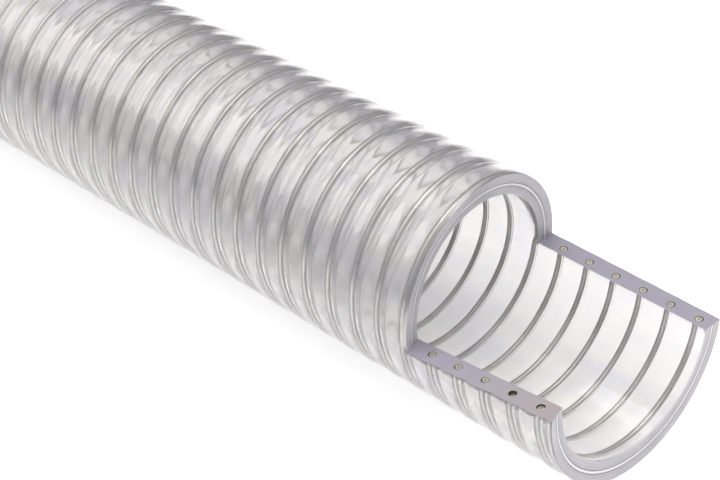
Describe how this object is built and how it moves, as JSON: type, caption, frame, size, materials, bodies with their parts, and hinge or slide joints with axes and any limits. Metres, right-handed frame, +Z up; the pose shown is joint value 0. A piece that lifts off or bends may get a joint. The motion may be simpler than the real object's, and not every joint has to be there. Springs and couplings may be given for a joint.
{
  "type": "reinforced delivery hose",
  "caption": "Clear PVC delivery hose with a steel wire spiral inside its wall. One end is cut away to a lower half shell that shows the wall and the wire in section.",
  "frame": {"origin": "on the plane that the hose lies on, under the middle of its length", "axes": "+X along the hose, towards its cut-away end; +Y across it, towards the wall that the picture shows further off; +Z up"},
  "size_m": [0.9999, 0.0938, 0.0938],
  "materials": {
    "clear_pvc": "clear, smooth and slightly milky, with sawn cut faces that are matt",
    "spring_steel": "drawn round wire, satin, seen through the wall"
  },
  "bodies": {
    "root": {"hose_wall": "clear_pvc", "wire_spiral": "spring_steel", "wire_arc_1": "spring_steel", "wire_arc_2": "spring_steel", "wire_arc_3": "spring_steel", "wire_arc_4": "spring_steel", "wire_arc_5": "spring_steel"}
  },
  "joints": []
}
